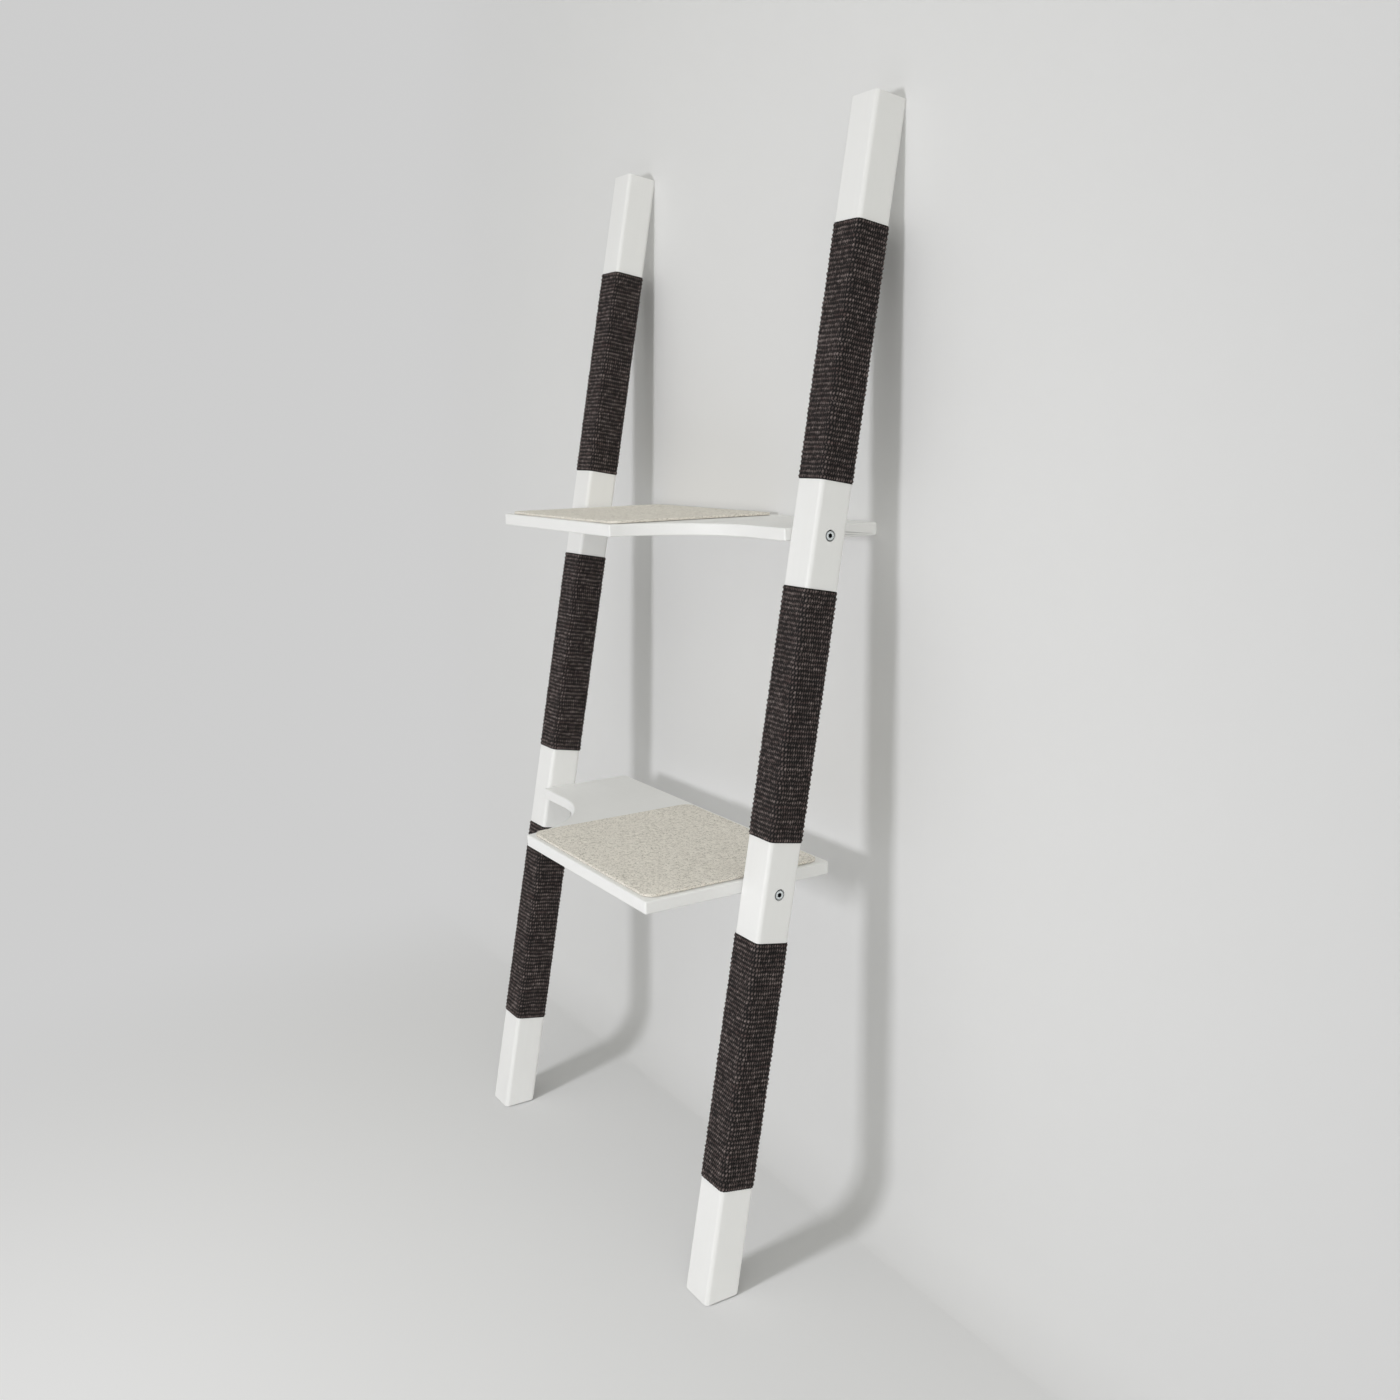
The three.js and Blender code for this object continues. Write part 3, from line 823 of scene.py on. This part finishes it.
def make_pad(name, node, spots, pads, material, seed):
    """One felt pad in its CAD node's space: a thick soft sheet with a cut edge, held on spots."""
    low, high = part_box(node)
    width, depth, thickness = high - low
    random = np.random.default_rng(seed)
    lines_x = pad_lines(width, pads.corner_radius, pads.cell, pads.edge_radius)
    lines_y = pad_lines(depth, pads.corner_radius, pads.cell, pads.edge_radius)
    x, y = np.meshgrid(lines_x, lines_y, indexing="ij")
    inset = np.minimum(np.minimum(x, width - x), np.minimum(y, depth - y))
    bent = np.clip(1 - inset / pads.edge_radius, 0, 1)
    drop = pads.edge_radius * (1 - np.sqrt(1 - bent * bent))
    inner = np.clip(inset / (EVEN_BORDER * pads.edge_radius), 0, 1)
    swell = pads.swell * soft_waves(x, y, random) * inner
    px, py = round_corners(x, y, width, depth, pads.corner_radius)
    sag = pads.sag * (1 - pads.curl * np.clip((x - width) / pads.sag_reach + 1, 0, 1) ** 2)
    for spot in spots:
        middle = (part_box(spot)[0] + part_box(spot)[1]) / 2 - low
        away = np.hypot(px - middle.x, py - middle.y) - pads.spot_radius
        rise = 0.5 - 0.5 * np.cos(np.pi * np.clip(away / pads.sag_reach, 0, 1))
        sag = np.minimum(sag, pads.sag * rise)
    top = thickness - drop - sag + np.minimum(swell, SWELL_LIMIT)
    bottom = drop - sag
    count = x.size
    layers = [np.stack([px, py, z], -1).reshape(-1, 3) for z in (top, bottom)]
    points = np.concatenate(layers)
    grid = np.arange(count).reshape(x.shape)
    a, b, c, d = grid[:-1, :-1], grid[1:, :-1], grid[1:, 1:], grid[:-1, 1:]
    upper = np.stack([a, b, c, d], -1).reshape(-1, 4)
    lower = upper[:, ::-1] + count
    rim = np.concatenate([grid[:-1, 0], grid[-1, :-1], grid[:0:-1, -1], grid[0, :0:-1]])
    following = np.roll(rim, -1)
    side = np.stack([rim, rim + count, following + count, following], -1)
    faces = np.concatenate([upper, lower, side]).tolist()
    return new_piece(name, points, faces, material, Matrix.Translation(low))


# Operators


# Scale of the wood's grain along a board, against 1 across it.
GRAIN_STRETCH = 0.06


class CATTREE_OT_paint_wood(bpy.types.Operator):
    """Sprays the posts and shelves with white lacquer"""

    bl_idname = "cattree.paint_wood"
    bl_label = "Paint Posts and Shelves"

    def execute(self, context):
        finishes = context.scene.cat_tree_finishes
        lean = context.scene.cat_tree_posts.lean
        upright, level = (1.0, 1.0, GRAIN_STRETCH), (GRAIN_STRETCH, 1.0, 1.0)
        on_posts = sprayed_lacquer(finishes, "sprayed_lacquer_on_posts", lean, upright)
        on_shelves = sprayed_lacquer(finishes, "sprayed_lacquer_on_shelves", 0.0, level)
        paint_nodes(nodes_ending("_post"), on_posts, SOFT_EDGE)
        paint_nodes(nodes_ending("_shelf"), on_shelves, SOFT_EDGE)
        return {"FINISHED"}


class CATTREE_OT_weave_mats(bpy.types.Operator):
    """Weaves the sisal mats round the posts"""

    bl_idname = "cattree.weave_mats"
    bl_label = "Weave Sisal Mats"

    def execute(self, context):
        scene = context.scene
        posts, mats = scene.cat_tree_posts, scene.cat_tree_mats
        material = woven_sisal(scene.cat_tree_finishes)
        starts = {"lower": mats.lower_start, "middle": mats.middle_start, "upper": mats.upper_start}
        seed = 1
        for side_name, side in (("left", -1), ("right", 1)):
            for level, start in starts.items():
                node = f"{side_name}_{level}_sisal_mat"
                place = post_place(posts, side, start)
                mat = make_mat(f"{node}_woven", place, posts, mats, material, seed)
                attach(mat, "frame")
                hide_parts(node)
                seed += 1
        return {"FINISHED"}


# The corners of a pad, as the hook spots under them are named.
CORNERS = ("front_outer", "front_inner", "back_outer", "back_inner")


class CATTREE_OT_lay_pads(bpy.types.Operator):
    """Lays the felt pads on the shelves"""

    bl_idname = "cattree.lay_pads"
    bl_label = "Lay Felt Pads"

    def execute(self, context):
        scene = context.scene
        material = needled_felt(scene.cat_tree_finishes)
        for seed, level in enumerate(("lower", "upper"), start=11):
            node = f"{level}_felt_pad"
            spots = [f"{level}_{corner}_hook_spot" for corner in CORNERS]
            pad = make_pad(f"{node}_soft", node, spots, scene.cat_tree_pads, material, seed)
            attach(pad, f"{level}_pad")
            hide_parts(node)
        return {"FINISHED"}


class CATTREE_OT_finish_hardware(bpy.types.Operator):
    """Finishes the screws, washers, nuts, hangers, dowels, foot pads and hook spots"""

    bl_idname = "cattree.finish_hardware"
    bl_label = "Finish Hardware"

    def execute(self, context):
        finishes = context.scene.cat_tree_finishes
        zinc = bright_zinc(finishes.zinc, "bright_zinc_plated_steel")
        # The screws' sockets get a dark copy of the zinc, which paints the shade in the recess.
        socket = bright_zinc(finishes.zinc_socket_shade, "zinc_socket_painted_shade")
        paint_nodes(nodes_ending("_screw"), zinc, SOFT_EDGE)
        paint_socket_shade(nodes_ending("_screw"), socket)
        paint_nodes(nodes_ending("_washer", "_barrel_nut", "_wall_hanger"), zinc)
        paint_nodes(nodes_ending("_dowel"), bare_beech(finishes))
        paint_nodes(nodes_ending("_foot_pad"), moulded_rubber(finishes))
        paint_nodes(nodes_ending("_hook_spot"), woven_hook_tape(finishes))
        return {"FINISHED"}


def add_lamp(name, place, target, tint, power, size):
    """A soft square lamp at a place, turned towards a target."""
    data = bpy.data.lights.new(name, "AREA")
    data.size = size
    data.color = tint
    data.energy = power
    lamp = bpy.data.objects.new(name, data)
    bpy.context.scene.collection.objects.link(lamp)
    lamp.location = place
    lamp.rotation_mode = "QUATERNION"
    lamp.rotation_quaternion = (Vector(target) - Vector(place)).to_track_quat("-Z", "Y")


def background_rays(tree):
    """1 for rays from the camera, off shiny surfaces and through clear ones, and 0 for the rest."""
    kinds = ("Is Camera Ray", "Is Glossy Ray", "Is Transmission Ray")
    camera, glossy, clear = (add_node(tree, "ShaderNodeLightPath", output=kind) for kind in kinds)
    either = add_node(tree, "ShaderNodeMath", {0: camera, 1: glossy}, operation="MAXIMUM")
    return add_node(tree, "ShaderNodeMath", {0: either, 1: clear}, operation="MAXIMUM")


# How soon the paper's level tone fades up the bend, and where its plain tone begins and ends:
# distances on stretched axes from the object's middle.
BEND_FADE = 3.0
PLAIN_FROM = 0.6
PLAIN_TO = 1.65
PLAIN_STRETCH = (1.0, 0.8, 0.5)
PLAIN_SHIFT = (0.0, 0.0, -0.43)


def backdrop_paper(studio, finishes):
    """Studio paper, painted matt, that shows only the side that faces the object."""
    # Even pale grey. Further from the object it keeps one tone for the camera, however the lamp
    # falls off. Its shading leans to the lamp, so that a low lamp still draws shadows on the floor,
    # and the paper is lighter where it lies level, so that the floor keeps the tone of the wall.
    material, tree = new_material("matt_studio_paper")
    place = add_node(tree, "ShaderNodeTexCoord", output="Object")
    grain = add_node(tree, "ShaderNodeTexNoise", {"Vector": place, "Scale": per_metre(400)})
    tone = add_node(
        tree,
        "ShaderNodeMix",
        {0: grain, 6: rgba(finishes.floor), 7: rgba(finishes.floor, 0.985)},
        **COLOUR_MIX,
    )
    facing = add_node(tree, "ShaderNodeNewGeometry", output="Normal")
    slope = add_node(tree, "ShaderNodeSeparateXYZ", {"Vector": facing}, output="Y")
    flatness = add_node(tree, "ShaderNodeMath", {0: slope, 1: 1.0}, operation="ADD")
    level = add_node(tree, "ShaderNodeMath", {0: flatness, 1: BEND_FADE}, operation="POWER")
    tone = add_node(
        tree,
        "ShaderNodeMix",
        {0: level, 6: tone, 7: rgba(finishes.floor, studio.floor_lift)},
        **COLOUR_MIX,
    )
    forward = (0.0, -studio.floor_lean, 0.0)
    leaning = add_node(tree, "ShaderNodeVectorMath", {0: facing, 1: forward}, operation="ADD")
    normal = add_node(tree, "ShaderNodeVectorMath", {0: leaning}, operation="NORMALIZE")
    lit = add_node(
        tree,
        "ShaderNodeBsdfPrincipled",
        {"Base Color": tone, "Roughness": 0.9, "Specular IOR Level": 0.1, "Normal": normal},
    )
    even = add_node(tree, "ShaderNodeEmission", {"Color": rgba(finishes.distance), "Strength": 1.0})
    spread = add_node(
        tree,
        "ShaderNodeMapping",
        {"Vector": place, "Location": PLAIN_SHIFT, "Scale": PLAIN_STRETCH},
    )
    distance = add_node(
        tree, "ShaderNodeVectorMath", {0: spread}, output="Value", operation="LENGTH"
    )
    far = add_node(
        tree,
        "ShaderNodeMapRange",
        {"Value": distance, "From Min": PLAIN_FROM, "From Max": PLAIN_TO, "To Max": 0.95},
        interpolation_type="SMOOTHSTEP",
    )
    share = add_node(
        tree, "ShaderNodeMath", {0: far, 1: background_rays(tree)}, operation="MULTIPLY"
    )
    paper = add_node(tree, "ShaderNodeMixShader", {0: share, 1: lit, 2: even})
    clear = add_node(tree, "ShaderNodeBsdfTransparent")
    behind = add_node(tree, "ShaderNodeNewGeometry", output="Backfacing")
    one_sided = add_node(tree, "ShaderNodeMixShader", {0: behind, 1: paper, 2: clear})
    add_node(tree, "ShaderNodeOutputMaterial", {"Surface": one_sided})
    return material


# The gap behind the object, the heights at which the wall's two lengths end, and how far the
# stage reaches on every side.
WALL_GAP = 0.0005
WALL_JOINT = 2.0
WALL_HEIGHT = 30.0
STAGE_REACH = 60.0


def backdrop_profile(wall, cove, steps=16):
    """The side of the backdrop: from the floor up the cove, and up the wall in two lengths."""
    turn = np.linspace(-math.pi / 2, 0, steps + 1)
    arc = [(wall - cove + cove * math.cos(t), cove + cove * math.sin(t)) for t in turn]
    return arc + [(wall, WALL_JOINT), (wall, WALL_HEIGHT)]


def add_stage(studio, finishes):
    """A pale floor that runs on behind, and a backdrop that rises from it at the object's back."""
    # The backdrop gives no shadow and no bounce, so that what stands close to it looks right from
    # behind too.
    wall = cad_box[1].y + WALL_GAP
    ends = (-STAGE_REACH, STAGE_REACH)
    paper = backdrop_paper(studio, finishes)
    side = backdrop_profile(wall, studio.cove)
    points = [(x, y, z) for y, z in side for x in ends]
    faces = [(2 * i, 2 * i + 1, 2 * i + 3, 2 * i + 2) for i in range(len(side) - 1)]
    backdrop = new_piece("studio_backdrop", points, faces, paper)
    backdrop.visible_shadow = False
    backdrop.visible_diffuse = False
    points = [(x, y, 0.0) for y in (-STAGE_REACH, wall - studio.cove, STAGE_REACH) for x in ends]
    floor = new_piece("studio_floor", points, [(0, 1, 3, 2), (2, 3, 5, 4)], paper)


def add_world(studio, finishes):
    """Soft light from all round, stronger from above and from the camera's side."""
    world = bpy.data.worlds.new("studio_world")
    bpy.context.scene.world = world
    world.use_nodes = True
    tree = world.node_tree
    tree.nodes.clear()
    way = add_node(tree, "ShaderNodeTexCoord", output="Generated")
    lean = (studio.ambient_side, 0.0, studio.ambient_top)
    tilt = add_node(
        tree, "ShaderNodeVectorMath", {0: way, 1: lean}, output="Value", operation="DOT_PRODUCT"
    )
    power = add_node(
        tree,
        "ShaderNodeMath",
        {0: tilt, 1: studio.ambient, 2: studio.ambient},
        operation="MULTIPLY_ADD",
    )
    light = add_node(
        tree, "ShaderNodeBackground", {"Color": rgba(studio.ambient_colour), "Strength": power}
    )
    seen = add_node(
        tree, "ShaderNodeBackground", {"Color": rgba(finishes.distance), "Strength": 1.0}
    )
    mixed = add_node(tree, "ShaderNodeMixShader", {0: background_rays(tree), 1: light, 2: seen})
    add_node(tree, "ShaderNodeOutputWorld", {"Surface": mixed})


def add_camera(studio):
    """The camera of the photograph, from its place, its three turns and its focal length."""
    data = bpy.data.cameras.new("photo_camera")
    camera = bpy.data.objects.new("photo_camera", data)
    bpy.context.scene.collection.objects.link(camera)
    bpy.context.scene.camera = camera
    yaw, pitch, roll = studio.yaw, studio.pitch, studio.roll
    forward = Vector(
        (-math.sin(yaw) * math.cos(pitch), math.cos(yaw) * math.cos(pitch), -math.sin(pitch))
    )
    level = Vector((math.cos(yaw), math.sin(yaw), 0.0))
    up = level.cross(forward)
    right = math.cos(roll) * level + math.sin(roll) * up
    top = math.cos(roll) * up - math.sin(roll) * level
    axes = Matrix((right, top, -forward)).transposed()
    camera.matrix_world = Matrix.Translation(studio.camera) @ axes.to_4x4()
    data.sensor_fit = "HORIZONTAL"
    data.sensor_width = 36.0
    data.lens = data.sensor_width * studio.focal / studio.picture
    data.shift_x = (studio.picture / 2 - studio.centre[0]) / studio.picture
    data.shift_y = -(studio.picture / 2 - studio.centre[1]) / studio.picture
    data.clip_start, data.clip_end = 0.05, 60.0


class CATTREE_OT_set_stage(bpy.types.Operator):
    """Sets the floor, the backdrop, the lamp and the camera"""

    bl_idname = "cattree.set_stage"
    bl_label = "Set Stage"

    def execute(self, context):
        studio, finishes = context.scene.cat_tree_studio, context.scene.cat_tree_finishes
        add_stage(studio, finishes)
        add_world(studio, finishes)
        middle = (0.0, 0.0, 0.85)
        add_lamp(
            "key_lamp", studio.key, middle, studio.key_colour, studio.key_power, studio.key_size
        )
        add_camera(studio)
        context.scene.view_settings.view_transform = "Standard"
        return {"FINISHED"}


OPERATORS = (
    CATTREE_OT_paint_wood,
    CATTREE_OT_weave_mats,
    CATTREE_OT_lay_pads,
    CATTREE_OT_finish_hardware,
    CATTREE_OT_set_stage,
)


class CATTREE_PT_panel(bpy.types.Panel):
    """Lists the steps that dress the cat tree"""

    bl_idname = "CATTREE_PT_panel"
    bl_label = "Cat Tree"
    bl_space_type = "VIEW_3D"
    bl_region_type = "UI"
    bl_category = "Cat Tree"

    def draw(self, context):
        for operator in OPERATORS:
            self.layout.operator(operator.bl_idname)
        for name, group in GROUPS.items():
            box = self.layout.box()
            box.label(text=group.__doc__)
            for setting in group.__annotations__:
                box.prop(getattr(context.scene, name), setting)


def register():
    for name, group in GROUPS.items():
        bpy.utils.register_class(group)
        setattr(bpy.types.Scene, name, PointerProperty(type=group))
    for cls in (*OPERATORS, CATTREE_PT_panel):
        bpy.utils.register_class(cls)


def unregister():
    for cls in reversed((*OPERATORS, CATTREE_PT_panel)):
        bpy.utils.unregister_class(cls)
    for name, group in reversed(GROUPS.items()):
        delattr(bpy.types.Scene, name)
        bpy.utils.unregister_class(group)


def main():
    register()
    bpy.ops.cattree.paint_wood()
    bpy.ops.cattree.weave_mats()
    bpy.ops.cattree.lay_pads()
    bpy.ops.cattree.finish_hardware()
    bpy.ops.cattree.set_stage()


if __name__ == "__main__":
    main()
